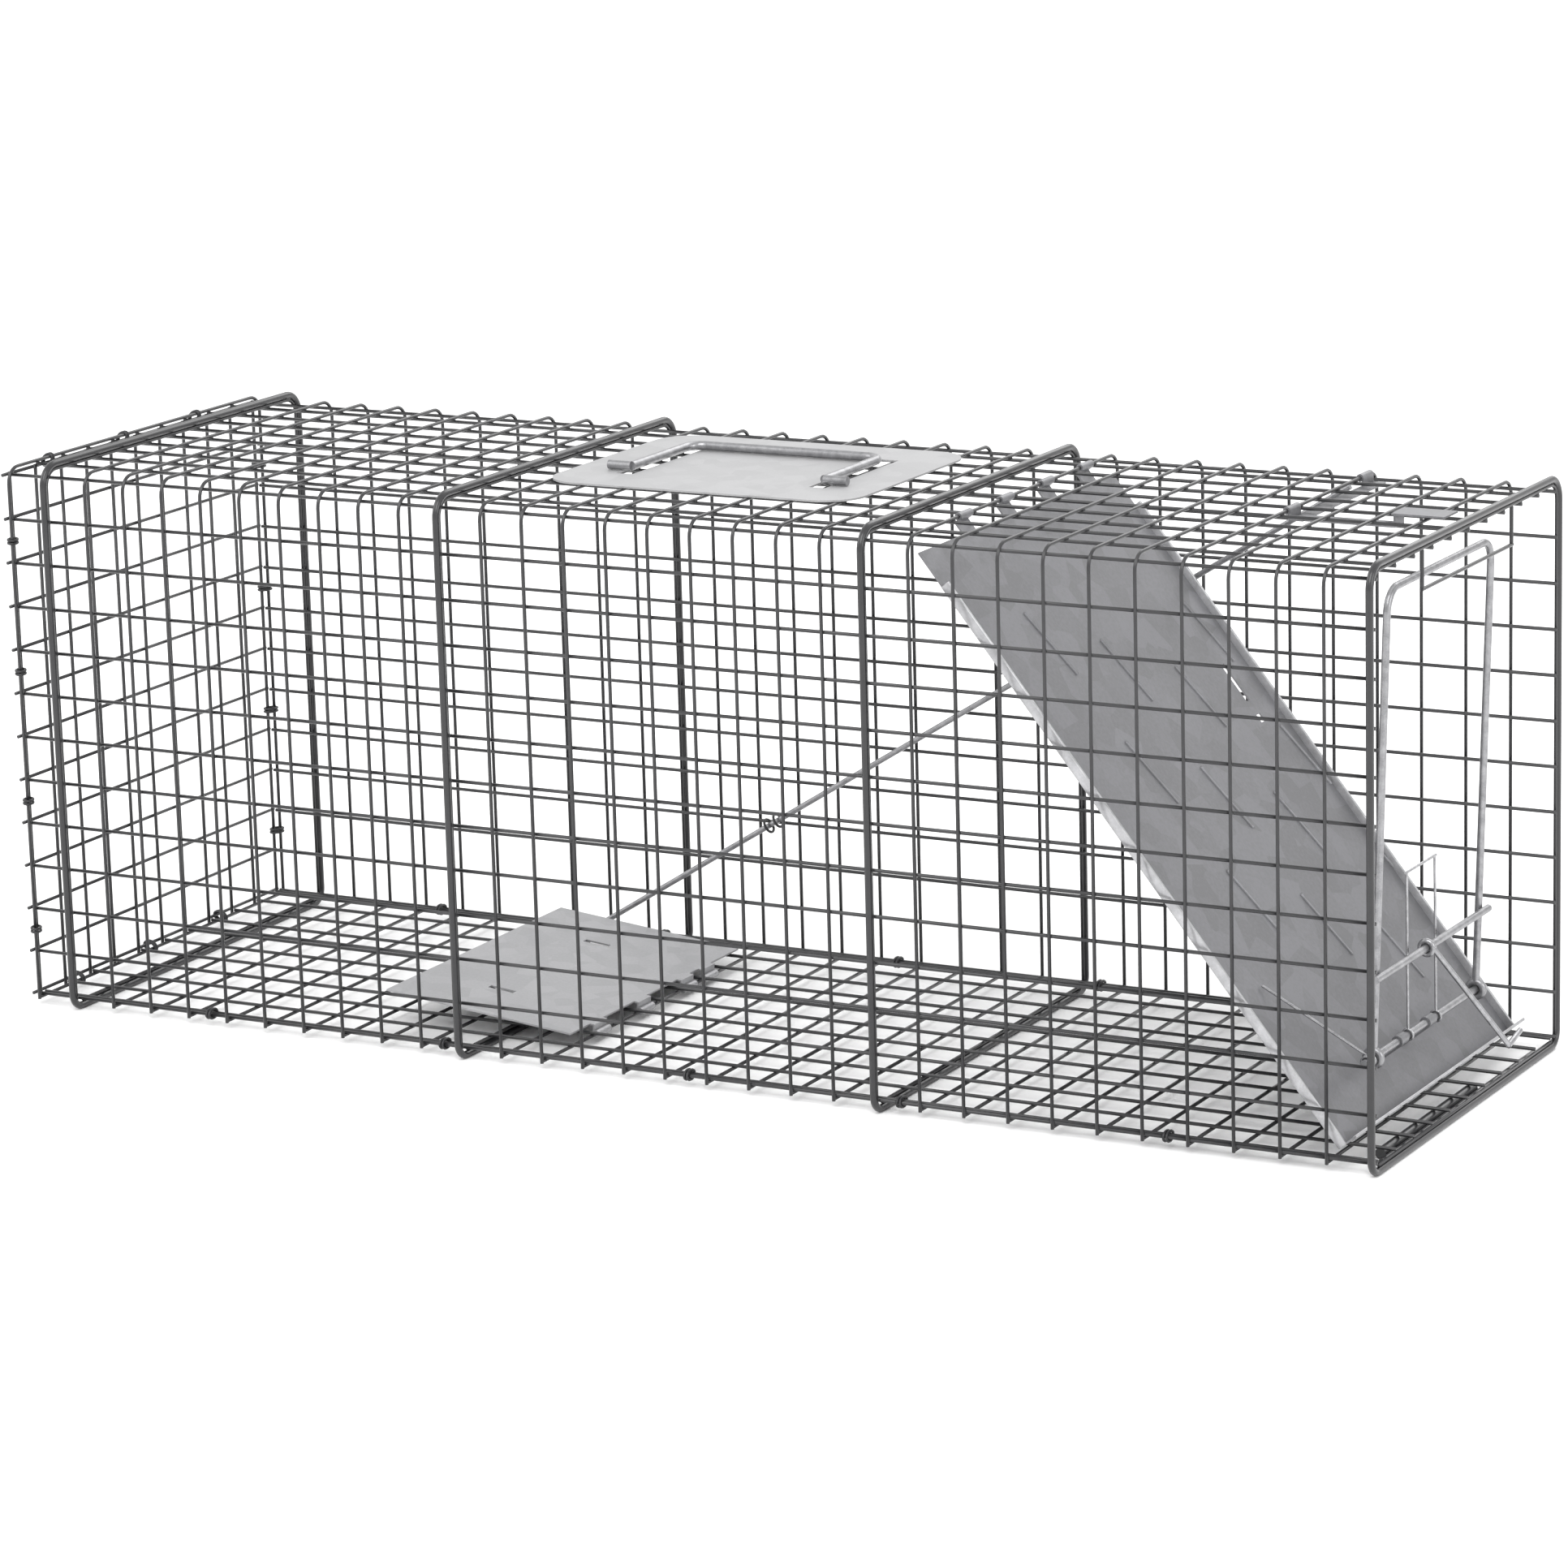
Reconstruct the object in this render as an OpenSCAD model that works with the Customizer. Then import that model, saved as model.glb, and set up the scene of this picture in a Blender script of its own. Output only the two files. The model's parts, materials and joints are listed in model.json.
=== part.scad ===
/* [Cage] */
// Pitch of the welded wires along the cage
cell = 25.4; // [20:0.1:31]
// Number of mesh cells along the cage
cells_long = 32; // [30:1:40]
// Number of mesh rows up a side
rows = 12; // [10:1:14]
// Number of mesh columns across the roof
columns = 10; // [8:2:12]
// Distance between the two side meshes, wire centre to wire centre
cage_w = 251; // [220:1:305]
// Height of the cage over its hoops
cage_h = 313.5; // [290:0.5:340]
// Diameter of a mesh wire
wire_d = 2; // [1.6:0.1:2.4]
// Diameter of a hoop rod
hoop_d = 4; // [3:0.1:4.6]
// Centreline radius where the mesh turns from side to roof
bend_r = 9; // [7:0.5:12]
// Centreline radius of a hoop's lower corners
hoop_foot_r = 8; // [7:0.5:10]

/* [Door] */
// Thickness of the door, treadle and guard sheets
sheet_t = 1; // [0.8:0.1:1.4]
// Angle of the closed door below the roof
door_slope = 51.4; // [50:0.1:53]
// Length of the door from its hinge wire
door_len = 378; // [350:1:381]
// Near edge of the door from the middle
door_near = 119; // [100:1:119]
// Far edge of the door from the middle, which leaves the trigger rod its way
door_far = 113; // [95:1:113]
// Height of the folded door edges over the sheet
flange_h = 4; // [2:0.5:4.5]

/* [Lock] */
// Diameter of the bail and its cross rods
rod_d = 4; // [3.5:0.1:4.4]
// Distance between the two bail arms
bail_w = 140; // [120:1:150]
// Length of the bail from its pivot to its top bar
bail_len = 243; // [200:1:244]
// Distance of the pivot rod along the door
pivot_u = 350; // [340:1:355]
// Height of the pivot rod over the door's hinge plane
pivot_w = 16; // [13:0.5:17]
// Height of the cross rod over the pivot
cross_h = 44; // [38:1:60]
// Angle that the bail leans forward
bail_lean = 2; // [0:0.5:3]
// Length of the set hook's leg
hook_len = 66; // [50:1:70]

// Distance that the set hook's leg reaches forward
hook_run = 32; // [20:1:38]

/* [Trigger] */
// Size of the treadle along the cage
treadle_l = 122; // [80:1:140]
// Size of the treadle across the cage
treadle_w = 190; // [120:1:200]
// Angle of the raised treadle
treadle_tilt = 6; // [4.5:0.5:8]
// Diameter of the trigger rod
trigger_d = 3.2; // [2.5:0.1:3.6]

/* [Handle] */
// Size of the guard plate along the cage
guard_l = 188; // [160:1:200]
// Size of the guard plate across the cage
guard_w = 150; // [110:1:160]
// Distance between the handle's two legs
handle_w = 118; // [90:1:130]
// Length of a handle leg
handle_h = 68; // [50:1:75]
// Diameter of the handle wire
handle_d = 5; // [4:0.1:5.5]

/* [Fits] */
// Gap between wires that lie across each other
gap = 0.02; // [0.01:0.01:0.05]
// Radial clearance of curled tabs and wire eyes
run = 0.06; // [0.03:0.01:0.1]
// Diameter of the wire in hog rings and light springs
fine_d = 1.5; // [1:0.1:1.6]

/* [Hidden] */
$fn = 32;

step = wire_d + gap;                       // crossing wires, centre to centre
hoop_step = (wire_d + hoop_d) / 2 + gap;   // hoop to mesh wire, centre to centre
side_y = cage_w / 2;
long_y = side_y - step;
floor_z = hoop_d + wire_d / 2 + gap;
deck_z = floor_z + step;
roof_z = cage_h - hoop_d - wire_d / 2 - gap;
roof_long_z = roof_z - step;
corner_in = (bend_r - step) * cos(45);
corner_y = side_y - bend_r + corner_in;
corner_z = roof_z - bend_r + corner_in;
row_pitch = (corner_z - deck_z) / rows;
col_pitch = 2 * corner_y / columns;
ring_r = 4.8;
ring_out = ring_r + fine_d / 2;
rear_gap = 2 * step;
mouth_cells = 10;                          // cells between the hinge wire and the front hoop
hook_d = 3;
// Where the set hook's leg ends, and how far the outline reaches, past the front hoop's wire
hook_end = pivot_u * cos(door_slope) + pivot_w * sin(door_slope) + (rod_d + gap) * cos(bail_lean)
    + cross_h * sin(bail_lean) + hook_run - mouth_cells * cell;
front_reach = max(hook_end + hook_d / 2, hoop_d / 2);
length = cells_long * cell;
// The origin is under the middle of the whole outline
rear_x = -(length + front_reach - step - ring_out) / 2;
function row_x(j) = rear_x + j * cell;
function row_z(k) = deck_z + k * row_pitch;
function col_y(i) = -corner_y + i * col_pitch;
front_x = row_x(cells_long);
hoop_rows = [1, 11, 21, cells_long];
function at_hoop(j) = len([for (h = hoop_rows) if (h == j) h]) > 0;
hinge_x = row_x(cells_long - mouth_cells);
catch_x = row_x(cells_long - 4);
treadle_x = row_x(13);
guard_x = row_x(15.65);
tab_w = 14;
rod_top_x = catch_x - 12;
rod_top_z = roof_long_z - 6;
rod_foot_x = treadle_x - treadle_l + 20;
rod_foot_z = deck_z + (wire_d + trigger_d) / 2 + 2.2;
trigger_rise = atan((rod_top_z - rod_foot_z) / (rod_top_x - rod_foot_x));
treadle_rise = 4.2;                        // underside of the treadle sheet over its hinge
tab_in = wire_d / 2 + run;
tab_out = tab_in + sheet_t;
sheet_low = -tab_out - 2;                  // underside of the door sheet under its hinge
px = hinge_x + pivot_u * cos(door_slope) + pivot_w * sin(door_slope);
pz = roof_z - pivot_u * sin(door_slope) + pivot_w * cos(door_slope);
eye_in = rod_d / 2 + run;
mid_tab = col_pitch / 2;

// Straight round bar from one point to another
module bar(a, b, d) {
    v = b - a;
    translate(a)
        rotate([0, acos(v[2] / norm(v)), atan2(v[1], v[0])])
            cylinder(h = norm(v), d = d);
}

// Round bar bent through a part turn in the XY plane
module bend(r, d, a = 90) {
    rotate_extrude(angle = a, $fn = 48)
        translate([r, 0])
            circle(d = d, $fn = 24);
}

// Ring whose hole runs along Y
module eye(inner, d) {
    rotate([90, 0, 0])
        rotate_extrude($fn = 48)
            translate([inner + d / 2, 0])
                circle(d = d, $fn = 24);
}

// Curled sheet tab round a wire that runs along Y, open towards its root
module curl(inner, w) {
    rotate([90, 0, 0])
        translate([0, 0, -w / 2])
            difference() {
                cylinder(h = w, r = inner + sheet_t);
                translate([0, 0, -1])
                    cylinder(h = w + 2, r = inner);
            }
}

// Wires of one side, each upright with its bend into the roof
module side_mesh(s) {
    color("#3c3c3e") {
        for (j = [0:cells_long]) {
            low = at_hoop(j) ? 8 : 4;
            translate([row_x(j), s * side_y, low])
                cylinder(h = roof_z - bend_r - low, d = wire_d);
            translate([row_x(j), s * (side_y - bend_r), roof_z - bend_r])
                rotate([90, 0, 90])
                    rotate([0, 0, s > 0 ? 0 : 90])
                        bend(bend_r, wire_d);
        }
        for (k = [0:rows - 1])
            translate([rear_x - wire_d / 2, s * long_y, row_z(k)])
                rotate([0, 90, 0])
                    cylinder(h = length + wire_d, d = wire_d);
    }
}

module near_side_mesh() {
    side_mesh(-1);
}

module far_side_mesh() {
    side_mesh(1);
}

module roof_mesh() {
    color("#3c3c3e") {
        for (j = [0:cells_long])
            bar([row_x(j), bend_r - side_y, roof_z], [row_x(j), side_y - bend_r, roof_z], wire_d);
        for (i = [0:columns]) {
            edge = i == 0 || i == columns;
            z = edge ? corner_z : roof_long_z;
            bar([rear_x - wire_d / 2, col_y(i), z], [front_x + wire_d / 2, col_y(i), z], wire_d);
        }
    }
}

module floor_mesh() {
    edge_y = long_y - step - 2;
    color("#3c3c3e") {
        for (j = [0:cells_long]) {
            reach = at_hoop(j) ? side_y - 6 : side_y - wire_d / 2 - 0.1;
            bar([row_x(j), -reach, floor_z], [row_x(j), reach, floor_z], wire_d);
        }
        for (i = [0:columns]) {
            y = i == 0 ? -edge_y : i == columns ? edge_y : col_y(i);
            bar([rear_x, y, deck_z], [front_x, y, deck_z], wire_d);
        }
    }
}

module rear_mesh() {
    color("#3c3c3e") {
        for (i = [0:columns])
            bar([rear_x - step, col_y(i), 4], [rear_x - step, col_y(i), corner_z + 1.6], wire_d);
        for (k = [0:rows])
            bar([rear_x - rear_gap, -side_y, row_z(k)], [rear_x - rear_gap, side_y, row_z(k)], wire_d);
    }
}

// Closed rod hoop round the mesh
module hoop(x, d = hoop_d) {
    y = side_y + hoop_step;
    top = roof_z + hoop_step;
    low = hoop_d / 2;
    r_top = bend_r + hoop_step;
    color("#343436")
        translate([x, 0, 0]) {
            bar([0, r_top - y, top], [0, y - r_top, top], d);
            bar([0, hoop_foot_r - y, low], [0, y - hoop_foot_r, low], d);
            for (s = [-1, 1]) {
                bar([0, s * y, low + hoop_foot_r], [0, s * y, top - r_top], d);
                translate([0, s * (y - r_top), top - r_top])
                    rotate([90, 0, 90])
                        rotate([0, 0, s > 0 ? 0 : 90])
                            bend(r_top, d);
                translate([0, s * (y - hoop_foot_r), low + hoop_foot_r])
                    rotate([90, 0, 90])
                        rotate([0, 0, s > 0 ? -90 : 180])
                            bend(hoop_foot_r, d);
            }
        }
}

module rear_hoop() {
    hoop(row_x(hoop_rows[0]));
}

module second_hoop() {
    hoop(row_x(hoop_rows[1]));
}

module third_hoop() {
    hoop(row_x(hoop_rows[2]));
}

module front_hoop() {
    hoop(row_x(hoop_rows[3]));
}

// Doubled rod across the mouth, inside the front hoop's foot
module front_frame_wire() {
    z = hoop_d / 2;
    x = front_x - hoop_d - gap;
    color("#343436")
        bar([x, 20 - side_y, z], [x, side_y - 20, z], hoop_d);
}

// Stop that the door's lip comes down on
module door_stop() {
    x = front_x - 2 * (hoop_d + gap) - 1;
    color("#2c2c2e")
        bar([x, -95, 3], [x, 30, 3], 6);
}

module side_hog_rings() {
    y = long_y - step / 2 - 1;
    color("#4a4a4c")
        for (s = [-1, 1], j = [5, 11, 17, 22, 28])
            translate([row_x(j - 0.5), s * y, deck_z])
                rotate([0, 0, 90])
                    eye(ring_r - fine_d / 2, fine_d);
}

module rear_hog_rings() {
    color("#4a4a4c") {
        for (s = [-1, 1], k = [1.5, 4.5, 7.5, 10.5])
            translate([rear_x - step / 2, s * (side_y + corner_y) / 2, row_z(k)])
                rotate([90, 0, 0])
                    eye(ring_r - fine_d / 2, fine_d);
        for (i = [1.5, 4.5, 7.5]) {
            translate([rear_x - step, col_y(i), floor_z + step / 2])
                eye(ring_r - fine_d / 2, fine_d);
            translate([rear_x - step, col_y(i), (corner_z + roof_z) / 2])
                eye(ring_r - fine_d / 2, fine_d);
        }
    }
}

// Wire loop under the front hoop that keeps the bail's top bar in
module hanger_loop() {
    x = front_x;
    top = roof_z - wire_d / 2 - gap;
    low = top - 19;
    w = 2.5 * col_pitch;
    color("#343436") {
        for (s = [-1, 1])
            bar([x, s * w, low], [x, s * w, top], wire_d);
        bar([x, -w - wire_d / 2, low - wire_d / 2], [x, w + wire_d / 2, low - wire_d / 2], wire_d);
    }
}

// Plate with two slots that the handle's legs pass through
module guard_plate() {
    r = 22;
    color("#b4b4b4")
        translate([guard_x, mid_tab, roof_z + wire_d / 2 + gap])
            linear_extrude(sheet_t)
                difference() {
                    union() {
                        square([guard_l, guard_w - 2 * r], center = true);
                        square([guard_l - 2 * r, guard_w], center = true);
                        for (a = [-1, 1], b = [-1, 1])
                            translate([a * (guard_l / 2 - r), b * (guard_w / 2 - r)])
                                circle(r = r, $fn = 48);
                    }
                    for (a = [-1, 1])
                        translate([a * handle_w / 2, 0])
                            square([handle_d + 5, handle_h + handle_d + 12], center = true);
                }
}

// Carry handle lying in the plate's slots, its feet turned under as pivots
module handle() {
    x0 = guard_x;
    z = roof_z + wire_d / 2 + gap + sheet_t + handle_d / 2 + 0.3;
    y0 = mid_tab - handle_h / 2;
    r = 10;
    color("#c8c8c8")
        translate([x0, y0, z]) {
            for (s = [-1, 1]) {
                bar([s * handle_w / 2, 0, 0], [s * handle_w / 2, handle_h - r, 0], handle_d);
                translate([s * (handle_w / 2 - r), handle_h - r, 0])
                    rotate([0, 0, s > 0 ? 0 : 90])
                        bend(r, handle_d);
                bar([s * handle_w / 2, 0, 0], [s * (handle_w / 2 + 14), 0, 0], handle_d);
            }
            bar([r - handle_w / 2, handle_h, 0], [handle_w / 2 - r, handle_h, 0], handle_d);
        }
}

// Puts a shape in the door's own frame: X down the door, Z out of its face
module on_door() {
    translate([hinge_x, 0, roof_z])
        rotate([0, door_slope, 0])
            children();
}

module door_panel() {
    lip = 12;
    rib_l = 42;
    root = 9;
    color("#8a8a8c")
        on_door()
            difference() {
                union() {
                    translate([root, -door_near, sheet_low])
                        cube([door_len - root, door_near + door_far, sheet_t]);
                    for (y = [-door_near, door_far - sheet_t])
                        translate([30, y, sheet_low])
                            cube([door_len - 30, sheet_t, sheet_t + flange_h]);
                    translate([door_len - sheet_t, -door_near, sheet_low])
                        cube([sheet_t, door_near + door_far, lip]);
                    for (i = [-5, -1, 3, 7])
                        translate([0, i * mid_tab, 0]) {
                            curl(tab_in, 14);
                            translate([tab_in, -7, sheet_low])
                                cube([sheet_t, 14, -sheet_low]);
                            translate([tab_in, -7, sheet_low])
                                cube([root + 1 - tab_in, 14, sheet_t]);
                        }
                    for (y = [-34, 4])
                        translate([pivot_u, y, pivot_w])
                            curl(eye_in, 9);
                    for (y = [-34, 4])
                        translate([pivot_u + eye_in, y - 4.5, sheet_low])
                            cube([sheet_t, 9, pivot_w - sheet_low]);
                    for (row = [0:2], i = [-1:2])
                        translate([90 + row * 84 + (i % 2) * 30, i * 52 - 12 + row * 9, sheet_low + sheet_t])
                            rotate([0, 90, 12])
                                cylinder(h = rib_l, r = 1.2);
                }
                translate([130, door_far - 28, sheet_low - 1])
                    cube([24, 4, sheet_t + 4]);
                translate([163, door_far - 28, sheet_low - 1])
                    cube([5, 5, sheet_t + 4]);
            }
}

// Rod across the door that the bail swings on
module pivot_rod() {
    color("#a8a8aa")
        bar([px, -bail_w / 2 - 12, pz], [px, bail_w / 2 + 8, pz], rod_d);
}

// Puts a shape in the bail's own frame: Z up the arms, origin on the pivot
module on_bail() {
    translate([px, 0, pz])
        rotate([0, bail_lean, 0])
            children();
}

module lock_bail() {
    r = 12;
    color("#c4c4c6")
        on_bail() {
            for (s = [-1, 1]) {
                translate([0, s * bail_w / 2, 0])
                    eye(eye_in, rod_d);
                bar([0, s * bail_w / 2, eye_in + rod_d / 2], [0, s * bail_w / 2, bail_len - r], rod_d);
                translate([0, s * (bail_w / 2 - r), bail_len - r])
                    rotate([90, 0, 90])
                        rotate([0, 0, s > 0 ? 0 : 90])
                            bend(r, rod_d);
            }
            bar([0, r - bail_w / 2, bail_len], [0, bail_w / 2 - r, bail_len], rod_d);
        }
}

// Rod across the front of the bail that carries the set hook
module cross_rod() {
    color("#98989a")
        on_bail()
            bar([rod_d + gap, -bail_w / 2 - 10, cross_h], [rod_d + gap, bail_w / 2 + 4, cross_h], rod_d);
}

// Light wire U behind the cross rod, with an eye round the pivot rod at each foot
module bail_spring() {
    h = 86;
    y0 = -24;
    y1 = 14;
    x = -rod_d / 2 - fine_d;
    color("#b8b8ba")
        on_bail() {
            for (y = [y0, y1]) {
                translate([0, y, 0])
                    eye(eye_in, fine_d);
                bar([0, y, eye_in + fine_d / 2], [x, y, h], fine_d - 0.1);
            }
            bar([x, y0 - fine_d, h], [x, y1 + fine_d, h], fine_d);
        }
}

// Coils on the pivot rod whose legs bear on the door
module torsion_springs() {
    color("#b8b8ba")
        on_door()
            translate([pivot_u, 0, pivot_w]) {
                for (i = [0:3])
                    translate([0, -bail_w / 2 - 4.2 - i * (fine_d + gap), 0])
                        eye(eye_in, fine_d);
                bar([-eye_in - fine_d / 2, -bail_w / 2 - 4.2, 0],
                    [-62, -bail_w / 2 - 20, sheet_low + sheet_t + fine_d - pivot_w], fine_d);
            }
}

// Wire hook that swings on the cross rod and reaches out of the mouth
module set_hook() {
    hx = px + (rod_d + gap) * cos(bail_lean) + cross_h * sin(bail_lean);
    hz = pz - (rod_d + gap) * sin(bail_lean) + cross_h * cos(bail_lean);
    y0 = -12;
    drop = sqrt(hook_len * hook_len - hook_run * hook_run);
    tip = [hx + hook_run, y0 + 34, hz - drop];
    color("#c4c4c6") {
        translate([hx, y0, hz])
            eye(eye_in, hook_d);
        bar([hx + eye_in + hook_d / 2, y0, hz], tip, hook_d);
        bar(tip - [0, 1, 0], tip + [0, 16, 4], hook_d);
    }
}

// Plate that tips under an animal's weight, hinged on a floor wire
module treadle_plate() {
    color("#a6a6a8")
        translate([treadle_x, 0, floor_z])
            rotate([0, treadle_tilt, 0])
                difference() {
                    union() {
                        translate([-treadle_l, mid_tab / 2 - treadle_w / 2, treadle_rise])
                            cube([treadle_l - 4, treadle_w, sheet_t]);
                        for (i = [-5, -1, 3, 5])
                            translate([0, i * mid_tab, 0]) {
                                curl(tab_in, tab_w);
                                translate([-tab_out, -tab_w / 2, 0])
                                    cube([sheet_t, tab_w, treadle_rise + sheet_t]);
                                translate([-5, -tab_w / 2, treadle_rise])
                                    cube([5 - tab_in, tab_w, sheet_t]);
                            }
                    }
                    for (y = [-50, 55])
                        translate([-80, y, 3])
                            cube([16, 4, 4]);
                }
}

rod_y = (door_far + long_y - wire_d / 2) / 2;

module trigger_rod() {
    color("#c0c0c2") {
        bar([rod_foot_x, rod_y, rod_foot_z], [rod_top_x, rod_y, rod_top_z], trigger_d);
        bar([rod_foot_x, rod_y, rod_foot_z],
            [rod_foot_x, (treadle_w + mid_tab) / 2 + 1, rod_foot_z], trigger_d);
    }
}

// Wire loops against the far wall that guide the trigger rod
module rod_guide() {
    x = row_x(13.5);
    z = rod_top_z - (rod_top_x - x) * tan(trigger_rise);
    inner = long_y - wire_d / 2 - gap - rod_y - fine_d;
    color("#2e2e30")
        for (u = [-3, 3])
            translate([x + u, rod_y, z + u * tan(trigger_rise)])
                rotate([0, -trigger_rise, 0])
                    rotate([0, 0, 90])
                        eye(inner, fine_d);
}

// Sheet catch curled on a roof wire, with a tongue that stands up through the mesh
module trigger_catch() {
    y0 = mid_tab;
    y1 = 9 * mid_tab;
    low = -tab_out - 3;
    reach = 2.35 * cell;
    tongue = 3.5 * cell;
    color("#9a9a9c")
        translate([catch_x, 0, roof_z]) {
            for (y = [y0, y1]) {
                translate([0, y, 0])
                    curl(tab_in, 14);
                translate([tab_in, y - 7, low])
                    cube([sheet_t, 14, -low]);
            }
            translate([tab_in, y0 - 7, low])
                cube([8, y1 - y0 + 14, sheet_t]);
            translate([tab_in, y0 - 6, low])
                cube([reach - tab_in, 12, sheet_t]);
            translate([reach - sheet_t, y0 - 6, low])
                cube([sheet_t, 12, wire_d / 2 + 1 + sheet_t - low]);
            translate([reach - sheet_t, y0 - 9, wire_d / 2 + 1])
                cube([tongue - reach, 18, sheet_t]);
        }
}

near_side_mesh();
far_side_mesh();
roof_mesh();
floor_mesh();
rear_mesh();
rear_hoop();
second_hoop();
third_hoop();
front_hoop();
front_frame_wire();
side_hog_rings();
rear_hog_rings();
door_stop();
hanger_loop();
guard_plate();
handle();
door_panel();
pivot_rod();
lock_bail();
cross_rod();
bail_spring();
torsion_springs();
set_hook();
treadle_plate();
trigger_rod();
rod_guide();
trigger_catch();
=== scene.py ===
import bmesh
import bpy
import json
import math
from mathutils import Matrix, Vector


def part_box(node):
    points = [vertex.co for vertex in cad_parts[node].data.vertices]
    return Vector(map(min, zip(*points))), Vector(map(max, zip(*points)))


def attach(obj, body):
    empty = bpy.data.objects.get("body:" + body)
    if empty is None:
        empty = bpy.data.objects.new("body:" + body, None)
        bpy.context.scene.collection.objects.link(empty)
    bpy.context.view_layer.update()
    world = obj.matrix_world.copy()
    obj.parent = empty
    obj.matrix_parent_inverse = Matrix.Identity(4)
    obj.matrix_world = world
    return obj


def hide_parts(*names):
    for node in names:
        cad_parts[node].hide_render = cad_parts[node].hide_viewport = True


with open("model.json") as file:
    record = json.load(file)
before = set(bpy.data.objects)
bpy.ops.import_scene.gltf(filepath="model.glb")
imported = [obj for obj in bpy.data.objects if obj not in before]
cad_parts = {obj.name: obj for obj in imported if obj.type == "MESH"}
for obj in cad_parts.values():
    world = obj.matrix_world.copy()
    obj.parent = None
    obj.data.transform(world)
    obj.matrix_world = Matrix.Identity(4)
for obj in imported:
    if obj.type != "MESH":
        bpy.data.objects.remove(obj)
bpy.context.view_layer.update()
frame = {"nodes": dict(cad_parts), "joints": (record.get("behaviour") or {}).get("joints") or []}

mm = 0.001
nodes = frame["nodes"]


def linear(hexText):
    channels = [int(hexText[i:i + 2], 16) / 255 for i in (1, 3, 5)]
    return [c / 12.92 if c <= 0.04045 else ((c + 0.055) / 1.055) ** 2.4 for c in channels] + [1]


def addNode(tree, kind, settings=None, links=None):
    newNode = tree.nodes.new(kind)
    for key, value in (settings or {}).items():
        if hasattr(newNode, key):
            setattr(newNode, key, value)
        else:
            newNode.inputs[key].default_value = value
    for key, socket in (links or {}).items():
        tree.links.new(socket, newNode.inputs[key])
    return newNode


bumpStrength = 0.3
rampEnds = (0.3, 0.7)


def makeFinish(look):
    material = bpy.data.materials.new(look["name"])
    material.use_nodes = True
    tree = material.node_tree
    shader = tree.nodes["Principled BSDF"]
    shader.inputs["Metallic"].default_value = look["metallic"]
    shader.inputs["Coat Weight"].default_value = look.get("coat", 0)
    coords = addNode(tree, "ShaderNodeTexCoord")
    turned = addNode(tree, "ShaderNodeMapping", {}, {"Vector": coords.outputs["Object"]})
    patch = addNode(tree, look.get("patchKind", "ShaderNodeTexNoise"),
                    {"Scale": 1 / (look["patchMm"] * mm)}, {"Vector": turned.outputs["Vector"]})
    patchOut = patch.outputs[0]
    if "Voronoi" in patch.bl_idname:
        split = addNode(tree, "ShaderNodeSeparateColor", {}, {"Color": patch.outputs["Color"]})
        patchOut = split.outputs[0]
    grain = addNode(tree, "ShaderNodeTexNoise", {"Scale": 1 / (look["grainMm"] * mm), "Detail": 3.0},
                    {"Vector": turned.outputs["Vector"]})
    blend = addNode(tree, "ShaderNodeMix", {"Factor": look.get("grainShare", 0.35)},
                    {"A": patchOut, "B": grain.outputs[0]})
    ramp = addNode(tree, "ShaderNodeValToRGB", {}, {"Fac": blend.outputs[0]})
    for stop, place, shade in zip(ramp.color_ramp.elements, rampEnds, (look["dark"], look["light"])):
        stop.position = place
        stop.color = linear(shade)
    tree.links.new(ramp.outputs["Color"], shader.inputs["Base Color"])
    rough = addNode(tree, "ShaderNodeMapRange", {"To Min": look["rough"][0], "To Max": look["rough"][1]},
                    {"Value": blend.outputs[0]})
    tree.links.new(rough.outputs["Result"], shader.inputs["Roughness"])
    bump = addNode(tree, "ShaderNodeBump", {"Strength": bumpStrength, "Distance": look["bumpMm"] * mm},
                   {"Height": grain.outputs[0]})
    tree.links.new(bump.outputs["Normal"], shader.inputs["Normal"])
    return material


# Powder coat on steel wire: near black, satin, with a fine orange peel
powderWire = makeFinish({"name": "powderCoatedWire", "dark": "#1d1d1f", "light": "#2c2c2e", "metallic": 0,
                         "rough": (0.3, 0.46), "patchMm": 9, "grainMm": 0.8, "bumpMm": 0.06, "coat": 0.25})
powderRod = makeFinish({"name": "powderCoatedRod", "dark": "#18181a", "light": "#262628", "metallic": 0,
                        "rough": (0.26, 0.4), "patchMm": 14, "grainMm": 1.0, "bumpMm": 0.05, "coat": 0.3})
# Dull clip wire: coated over by the cage's paint
clipWire = makeFinish({"name": "paintedClipWire", "dark": "#1e1e20", "light": "#38383a", "metallic": 0.2,
                       "rough": (0.35, 0.55), "patchMm": 3, "grainMm": 0.6, "bumpMm": 0.05})
# Galvanised sheet: pale matte zinc with faint crystal patches
guardSheet = makeFinish({"name": "galvanisedGuard", "dark": "#a2a2a3", "light": "#aaaaab", "metallic": 0.35,
                         "rough": (0.5, 0.54), "grainShare": 0.6, "patchMm": 12,
                         "patchKind": "ShaderNodeTexVoronoi", "grainMm": 1.2, "bumpMm": 0.02})
# The door's zinc has larger crystal patches; its darker grey is painted shade for the sloping door sheet
doorZincPaintedShade = makeFinish({"name": "galvanisedDoorPaintedShade", "dark": "#737375", "light": "#7f7f82", "metallic": 0.55,
                        "rough": (0.4, 0.45), "grainShare": 0.6, "patchMm": 16,
                        "patchKind": "ShaderNodeTexVoronoi", "grainMm": 2.0, "bumpMm": 0.03})
treadleSheet = makeFinish({"name": "galvanisedTreadle", "dark": "#a0a0a2", "light": "#acacae",
                           "metallic": 0.5, "rough": (0.44, 0.49), "grainShare": 0.6, "patchMm": 13,
                           "patchKind": "ShaderNodeTexVoronoi", "grainMm": 1.5, "bumpMm": 0.03})
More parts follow.
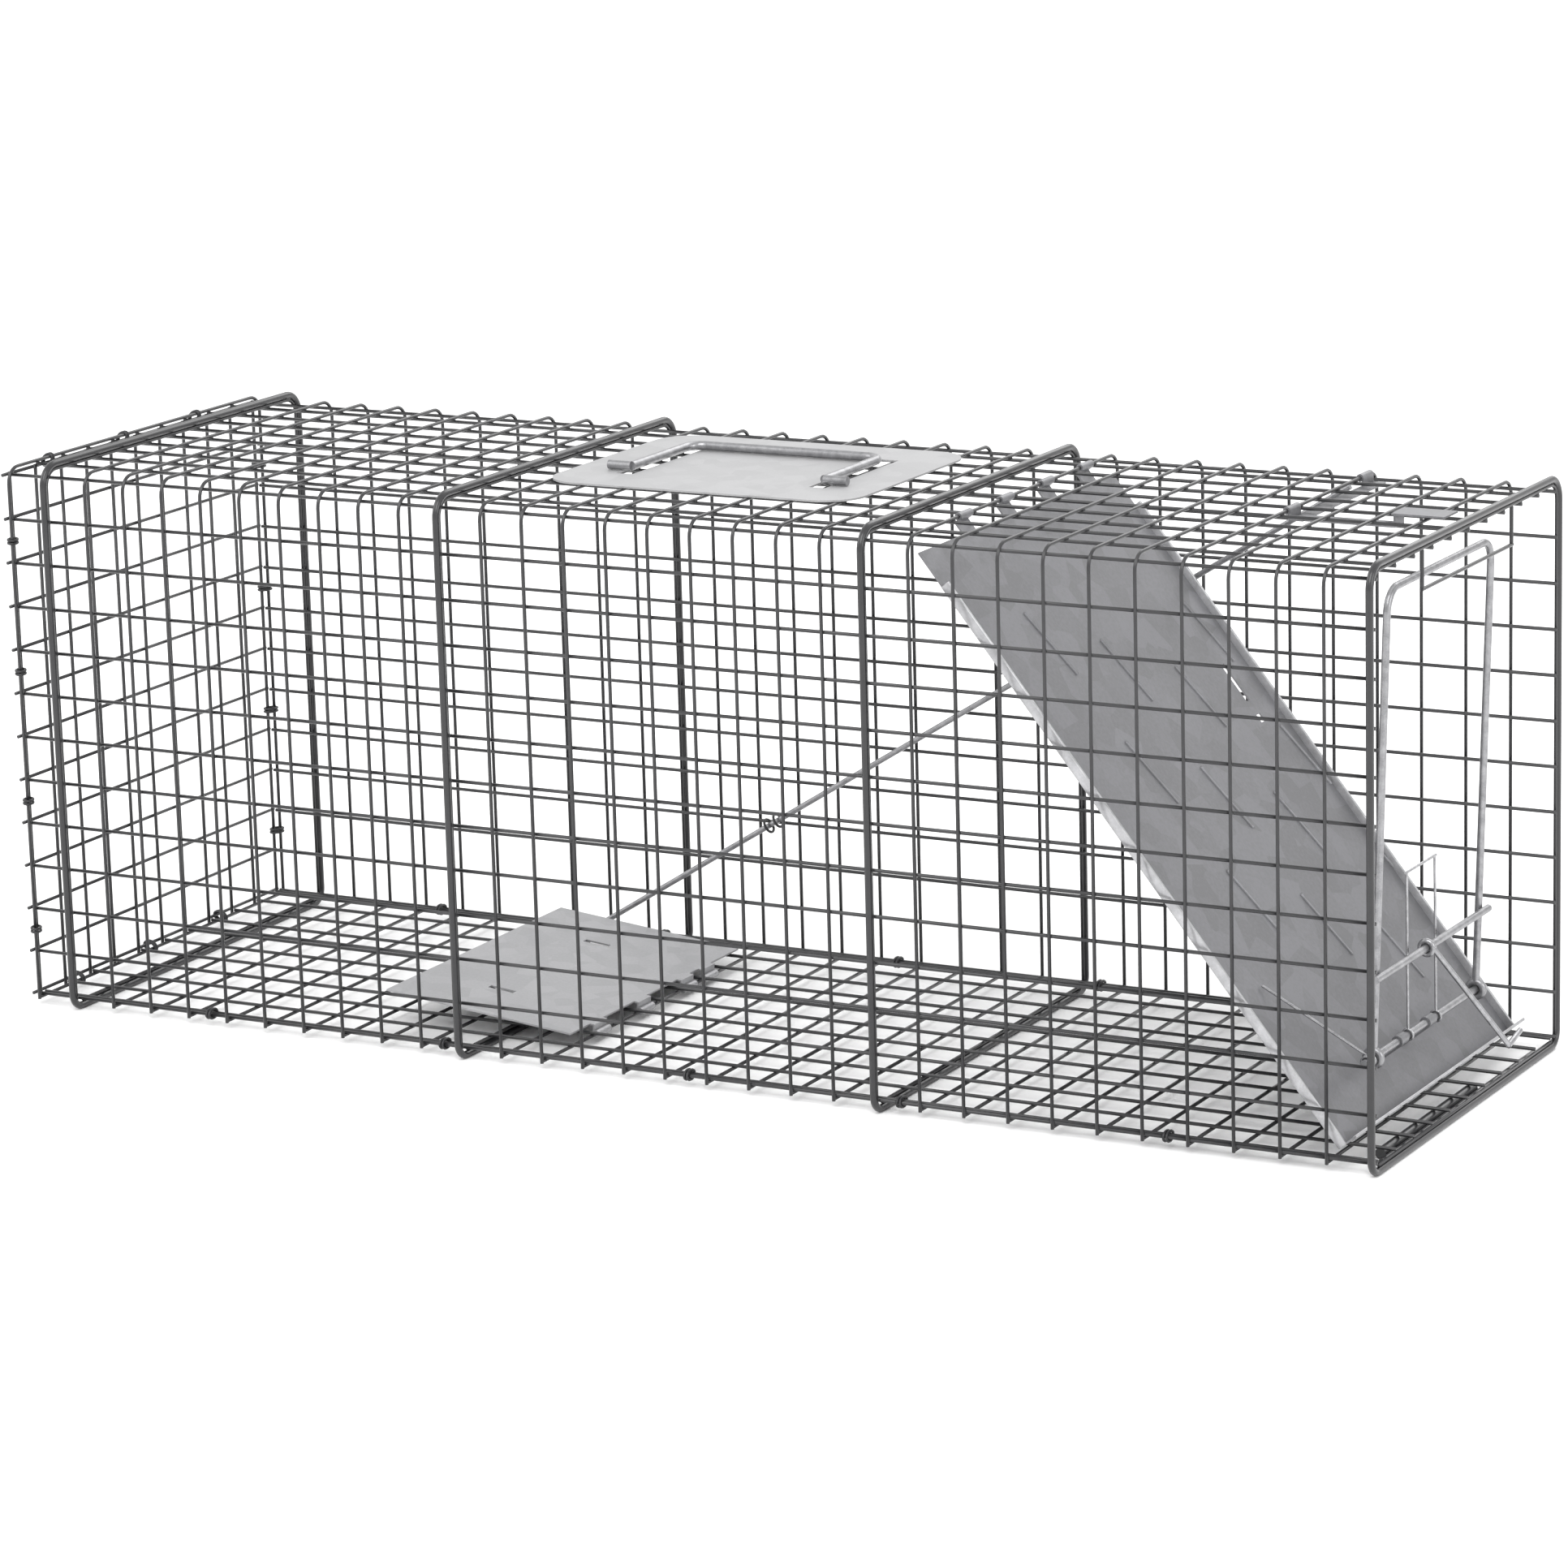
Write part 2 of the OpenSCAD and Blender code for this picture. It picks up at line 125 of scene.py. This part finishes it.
# Zinc plated rod and spring wire: drawn, so smoother and more metallic than the sheet
zincRod = makeFinish({"name": "zincPlatedRod", "dark": "#7c7c7e", "light": "#a4a4a6", "metallic": 0.8,
                      "rough": (0.24, 0.38), "patchMm": 5, "grainMm": 0.7, "bumpMm": 0.02})
springWire = makeFinish({"name": "brightSpringWire", "dark": "#88888a", "light": "#b0b0b2", "metallic": 0.85,
                         "rough": (0.18, 0.3), "patchMm": 4, "grainMm": 0.5, "bumpMm": 0.01})
# Folded zinc hems get a lighter grey than the door sheet: painted highlight along the folded edges that catch
# the light
hemPaintedHighlight = makeFinish({"name": "paintedHighlightHem", "dark": "#9c9c9e", "light": "#bcbcbe", "metallic": 0.6,
                       "rough": (0.3, 0.38), "patchMm": 7, "grainMm": 1.0, "bumpMm": 0.02})
print("finishes made")


def finishPiece(name, bm, material, body, replaced=()):
    bmesh.ops.recalc_face_normals(bm, faces=bm.faces)
    mesh = bpy.data.meshes.new(name)
    bm.to_mesh(mesh)
    bm.free()
    for face in mesh.polygons:
        face.use_smooth = True
    piece = bpy.data.objects.new(name, mesh)
    bpy.context.scene.collection.objects.link(piece)
    mesh.materials.append(material)
    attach(piece, body)
    if replaced:
        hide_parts(*replaced)


def roundPath(points, radius, closed=False, steps=6):
    # corners of a wire's route become arcs of the bend radius
    route = [Vector(p) for p in points]
    count = len(route)
    path = []
    for i, corner in enumerate(route):
        if not closed and i in (0, count - 1):
            path.append(corner)
            continue
        before = (route[i - 1] - corner).normalized()
        after = (route[(i + 1) % count] - corner).normalized()
        half = before.angle(after) / 2
        reach = radius / math.tan(half)
        middle = corner + (before + after).normalized() * (radius / math.sin(half))
        start = (corner + before * reach - middle).normalized()
        end = (corner + after * reach - middle).normalized()
        for k in range(steps + 1):
            path.append(middle + start.slerp(end, k / steps) * radius)
    return path


def tube(bm, path, diameter, sides=12, closed=False):
    # a ring of verts is extruded from point to point along the route
    count = len(path)
    edges = None
    firstEdges = None
    for i, point in enumerate(path):
        ahead = path[(i + 1) % count] if closed or i < count - 1 else point
        behind = path[i - 1] if closed or i > 0 else point
        aim = (ahead - behind).normalized()
        turn = aim.to_track_quat("Z", "X" if abs(aim.x) < 0.9 else "Y").to_matrix().to_4x4()
        place = Matrix.Translation(point) @ turn
        ring = bmesh.ops.create_circle(bm, cap_ends=False, segments=sides, radius=diameter / 2, matrix=place)
        ringEdges = list({e for v in ring["verts"] for e in v.link_edges if e.other_vert(v) in ring["verts"]})
        if edges is None:
            firstEdges = ringEdges
        else:
            bmesh.ops.bridge_loops(bm, edges=edges + ringEdges)
        edges = ringEdges
    if closed:
        bmesh.ops.bridge_loops(bm, edges=edges + firstEdges)
    else:
        for cap in (firstEdges, edges):
            bmesh.ops.holes_fill(bm, edges=cap, sides=0)


# Wire sizes and mesh counts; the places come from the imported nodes
cage = {"wire": 2 * mm, "gap": 0.02 * mm, "cell": 25.4 * mm, "cells": 32, "rows": 12, "columns": 10,
        "bend": 9 * mm, "sides": 8, "hoops": (1, 11, 21, 32), "hoopClear": 4 * mm, "floorShort": 1.1 * mm,
        "floorShortAtHoop": 6 * mm, "floorEdgeIn": 2 * mm, "weldRadius": 1.25 * mm}
step = cage["wire"] + cage["gap"]
sideLow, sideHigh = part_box("far_side_mesh")
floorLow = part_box("floor_mesh")[0]
rearLow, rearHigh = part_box("rear_mesh")
rearX = sideLow.x + cage["wire"] / 2
frontX = rearX + cage["cells"] * cage["cell"]
sideY = sideHigh.y - cage["wire"] / 2
roofZ = sideHigh.z - cage["wire"] / 2
floorZ = floorLow.z + cage["wire"] / 2
deckZ = floorZ + step
cornerIn = (cage["bend"] - step) * math.cos(math.radians(45))
cornerY = sideY - cage["bend"] + cornerIn
cornerZ = roofZ - cage["bend"] + cornerIn
rowPitch = (cornerZ - deckZ) / cage["rows"]
colPitch = 2 * cornerY / cage["columns"]


def rowX(j):
    return rearX + j * cage["cell"]


def rowZ(k):
    return deckZ + k * rowPitch


def colY(i):
    return -cornerY + i * colPitch


def addWeld(bm, place):
    # wires swell a little where they are welded
    spot = Matrix.Translation(place)
    bmesh.ops.create_icosphere(bm, subdivisions=1, radius=cage["weldRadius"], matrix=spot)


def makeCage():
    bm = bmesh.new()
    for j in range(cage["cells"] + 1):
        low = sideLow.z if j not in cage["hoops"] else sideLow.z + cage["hoopClear"]
        x = rowX(j)
        route = [(x, -sideY, low), (x, -sideY, roofZ), (x, sideY, roofZ), (x, sideY, low)]
        tube(bm, roundPath(route, cage["bend"]), cage["wire"], cage["sides"])
    finishPiece("hoopWires", bm, powderWire, "cage", ("near_side_mesh", "far_side_mesh"))
    bm = bmesh.new()
    start, end = rearX - cage["wire"] / 2, frontX + cage["wire"] / 2
    longY = sideY - step
    rails = [(s * longY, rowZ(k)) for s in (-1, 1) for k in range(cage["rows"])]
    for i in range(cage["columns"] + 1):
        rails.append((colY(i), cornerZ if i in (0, cage["columns"]) else roofZ - step))
    for y, z in rails:
        tube(bm, [Vector((start, y, z)), Vector((end, y, z))], cage["wire"], cage["sides"])
    finishPiece("lengthWires", bm, powderWire, "cage", ("roof_mesh",))
    bm = bmesh.new()
    for j in range(cage["cells"] + 1):
        x = rowX(j)
        reach = sideY - (cage["floorShortAtHoop"] if j in cage["hoops"] else cage["floorShort"])
        tube(bm, [Vector((x, -reach, floorZ)), Vector((x, reach, floorZ))], cage["wire"], cage["sides"])
    edgeY = longY - step - cage["floorEdgeIn"]
    for i in range(cage["columns"] + 1):
        y = math.copysign(edgeY, colY(i)) if i in (0, cage["columns"]) else colY(i)
        tube(bm, [Vector((rearX, y, deckZ)), Vector((frontX, y, deckZ))], cage["wire"], cage["sides"])
    finishPiece("floorWires", bm, powderWire, "cage", ("floor_mesh",))
    bm = bmesh.new()
    for i in range(cage["columns"] + 1):
        upright = [Vector((rearX - step, colY(i), z)) for z in (rearLow.z, rearHigh.z)]
        tube(bm, upright, cage["wire"], cage["sides"])
    for k in range(cage["rows"] + 1):
        crossing = [Vector((rearX - 2 * step, y, rowZ(k))) for y in (-sideY, sideY)]
        tube(bm, crossing, cage["wire"], cage["sides"])
    finishPiece("rearWires", bm, powderWire, "cage", ("rear_mesh",))
    bm = bmesh.new()
    for j in range(cage["cells"] + 1):
        for y, z in rails:
            if abs(y) < cornerY - mm:
                addWeld(bm, (rowX(j), y, z + step / 2))
            elif z < cornerZ - mm:
                addWeld(bm, (rowX(j), y + math.copysign(step / 2, y), z))
    finishPiece("weldBeads", bm, powderWire, "cage", ())


makeCage()
print("cage wires made")

hoop = {"rod": 4 * mm, "foot": 8 * mm, "sides": 20, "bendSteps": 10, "join": 100 * mm,
        "names": ("rear_hoop", "second_hoop", "third_hoop", "front_hoop")}


def makeHoops():
    for name in hoop["names"]:
        low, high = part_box(name)
        half = hoop["rod"] / 2
        x = (low.x + high.x) / 2
        topR = cage["bend"] + step / 2 + half + cage["gap"] / 2
        y, bottom, top = high.y - half, low.z + half, high.z - half
        joinZ = bottom + hoop["join"]
        upper = roundPath([(x, -y, joinZ), (x, -y, top), (x, y, top), (x, y, joinZ)], topR,
                          steps=hoop["bendSteps"])
        lower = roundPath([(x, y, joinZ), (x, y, bottom), (x, -y, bottom), (x, -y, joinZ)], hoop["foot"],
                          steps=hoop["bendSteps"])
        bm = bmesh.new()
        tube(bm, upper + lower[1:-1], hoop["rod"], hoop["sides"], closed=True)
        finishPiece(name.replace("_", "") + "Rod", bm, powderRod, "cage", (name,))


makeHoops()
print("hoops made")

# Folded edges, measured along and off the door sheet from its hinge wire
doorHem = {"slope": 51.4, "start": 30 * mm, "end": 378 * mm, "near": -118.6 * mm, "far": 112.6 * mm,
           "thick": 1.6 * mm, "low": -4.25 * mm, "high": 1.15 * mm, "lipTop": 8.1 * mm, "lipDeep": 2.2 * mm,
           "lipBack": 1.3 * mm, "lipOut": 0.3 * mm, "bevel": 0.4 * mm}
hingeSpot = Vector(next(j["pos_m"] for j in frame["joints"] if j["name"] == "door_swing"))
doorPlace = Matrix.Translation(hingeSpot) @ Matrix.Rotation(math.radians(doorHem["slope"]), 4, "Y")


def addStrip(bm, low, high):
    low, high = Vector(low), Vector(high)
    size = Matrix.Diagonal((*(high - low), 1))
    made = bmesh.ops.create_cube(bm, size=1, matrix=doorPlace @ Matrix.Translation((low + high) / 2) @ size)
    edges = list({e for v in made["verts"] for e in v.link_edges})
    bmesh.ops.bevel(bm, geom=edges, offset=doorHem["bevel"], offset_type="OFFSET", segments=2, profile=0.5,
                    affect="EDGES", material=-1)


def makeHems():
    bm = bmesh.new()
    half = doorHem["thick"] / 2
    end = doorHem["end"]
    for y in (doorHem["near"], doorHem["far"]):
        addStrip(bm, (doorHem["start"], y - half, doorHem["low"]), (end, y + half, doorHem["high"]))
    addStrip(bm, (end - doorHem["lipBack"], doorHem["near"], doorHem["lipTop"] - doorHem["lipDeep"]),
             (end + doorHem["lipOut"], doorHem["far"], doorHem["lipTop"]))
    # the hems take the lighter grey of painted highlight
    finishPiece("doorHems", bm, hemPaintedHighlight, "door", ())


makeHems()
print("door hems made")

rings = {"wire": 1.5 * mm, "turns": (-0.9 * mm, 0.9 * mm), "long": 4.1 * mm, "short": 2.6 * mm, "points": 18,
         "sides": 8, "inset": 1 * mm,
         "edgeCells": (5, 11, 17, 22, 28), "rearRows": (1.5, 4.5, 7.5, 10.5), "rearColumns": (1.5, 4.5, 7.5)}


def addRing(bm, middle, along, across):
    # a clip is two close turns pinched round a pair of wires
    along = Vector(along).normalized()
    across = Vector(across).normalized()
    axis = along.cross(across)
    for offset in rings["turns"]:
        path = []
        for k in range(rings["points"]):
            angle = 2 * math.pi * k / rings["points"]
            spread = along * math.cos(angle) * rings["long"] + across * math.sin(angle) * rings["short"]
            path.append(Vector(middle) + axis * offset + spread)
        tube(bm, path, rings["wire"], rings["sides"], closed=True)


def makeRings():
    bm = bmesh.new()
    y = sideY - step - step / 2 - rings["inset"]
    for side in (-1, 1):
        for j in rings["edgeCells"]:
            addRing(bm, (rowX(j - 0.5), side * y, deckZ), (0, 1, 0), (0, 0, 1))
    finishPiece("edgeClips", bm, clipWire, "cage", ("side_hog_rings",))
    bm = bmesh.new()
    for side in (-1, 1):
        for k in rings["rearRows"]:
            middle = (rearX - step / 2, side * (sideY + cornerY) / 2, rowZ(k))
            gapLine = (step, side * (sideY - cornerY), 0)
            addRing(bm, middle, gapLine, (-gapLine[1], step, 0))
    for i in rings["rearColumns"]:
        addRing(bm, (rearX - step, colY(i), floorZ + step / 2), (step, 0, -step / 2), (step / 2, 0, step))
        addRing(bm, (rearX - step, colY(i), (cornerZ + roofZ) / 2), (1, 0, 1), (-1, 0, 1))
    finishPiece("rearClips", bm, clipWire, "cage", ("rear_hog_rings",))


makeRings()
print("hog rings made")

# Nodes that keep their shape only take a finish
looks = {
    powderRod: ("front_frame_wire", "door_stop", "hanger_loop"),
    clipWire: ("rod_guide",),
    guardSheet: ("guard_plate",),
    # The door panel and the catch take the zinc grey darkened with painted shade
    doorZincPaintedShade: ("door_panel", "trigger_catch"),
    treadleSheet: ("treadle_plate",),
    zincRod: ("handle", "pivot_rod", "lock_bail", "cross_rod", "trigger_rod"),
    springWire: ("bail_spring", "torsion_springs", "set_hook"),
}
for material, names in looks.items():
    for name in names:
        nodes[name].data.materials.clear()
        nodes[name].data.materials.append(material)
print("finishes assigned")

studio = {"floor": 14.0, "floorRough": 0.9, "sky": 1.1, "aim": (0, 0, 0.15), "sensor": 36,
          "camera": (1.4546, -2.6484, 0.8679), "turn": (76.409, 1.573, 28.325), "lens": 130.89}
# Each lamp's place and size in metres, then its power in watts
lamps = {"key": ((0.6, -2.2, 2.6), 2.2, 60), "fill": ((-2.4, -1.2, 1.8), 2.0, 22),
         "mouth": ((3.0, -0.4, 1.2), 1.4, 22), "back": ((0.2, 2.4, 2.2), 2.0, 25)}


def makeStudio():
    bm = bmesh.new()
    bmesh.ops.create_grid(bm, x_segments=1, y_segments=1, size=studio["floor"])
    mesh = bpy.data.meshes.new("floor")
    bm.to_mesh(mesh)
    bm.free()
    floor = bpy.data.objects.new("floor", mesh)
    bpy.context.scene.collection.objects.link(floor)
    pale = bpy.data.materials.new("paleFloor")
    pale.use_nodes = True
    shader = pale.node_tree.nodes["Principled BSDF"]
    shader.inputs["Base Color"].default_value = linear("#fbfbfb")
    shader.inputs["Roughness"].default_value = studio["floorRough"]
    mesh.materials.append(pale)
    world = bpy.data.worlds.new("studio")
    bpy.context.scene.world = world
    world.use_nodes = True
    sky = world.node_tree.nodes["Background"]
    sky.inputs["Color"].default_value = (1, 1, 1, 1)
    sky.inputs["Strength"].default_value = studio["sky"]
    for name, (place, size, power) in lamps.items():
        light = bpy.data.lights.new(name, "AREA")
        light.energy = power
        light.size = size
        lamp = bpy.data.objects.new(name, light)
        lamp.location = place
        toward = Vector(studio["aim"]) - Vector(place)
        lamp.rotation_euler = toward.to_track_quat("-Z", "Y").to_euler()
        bpy.context.scene.collection.objects.link(lamp)
    bpy.context.scene.view_settings.view_transform = "Standard"
    camera = bpy.data.objects.new("camera", bpy.data.cameras.new("camera"))
    camera.data.lens = studio["lens"]
    camera.data.sensor_width = studio["sensor"]
    camera.location = studio["camera"]
    camera.rotation_euler = [math.radians(a) for a in studio["turn"]]
    bpy.context.scene.collection.objects.link(camera)
    bpy.context.scene.camera = camera


makeStudio()
print("studio made")
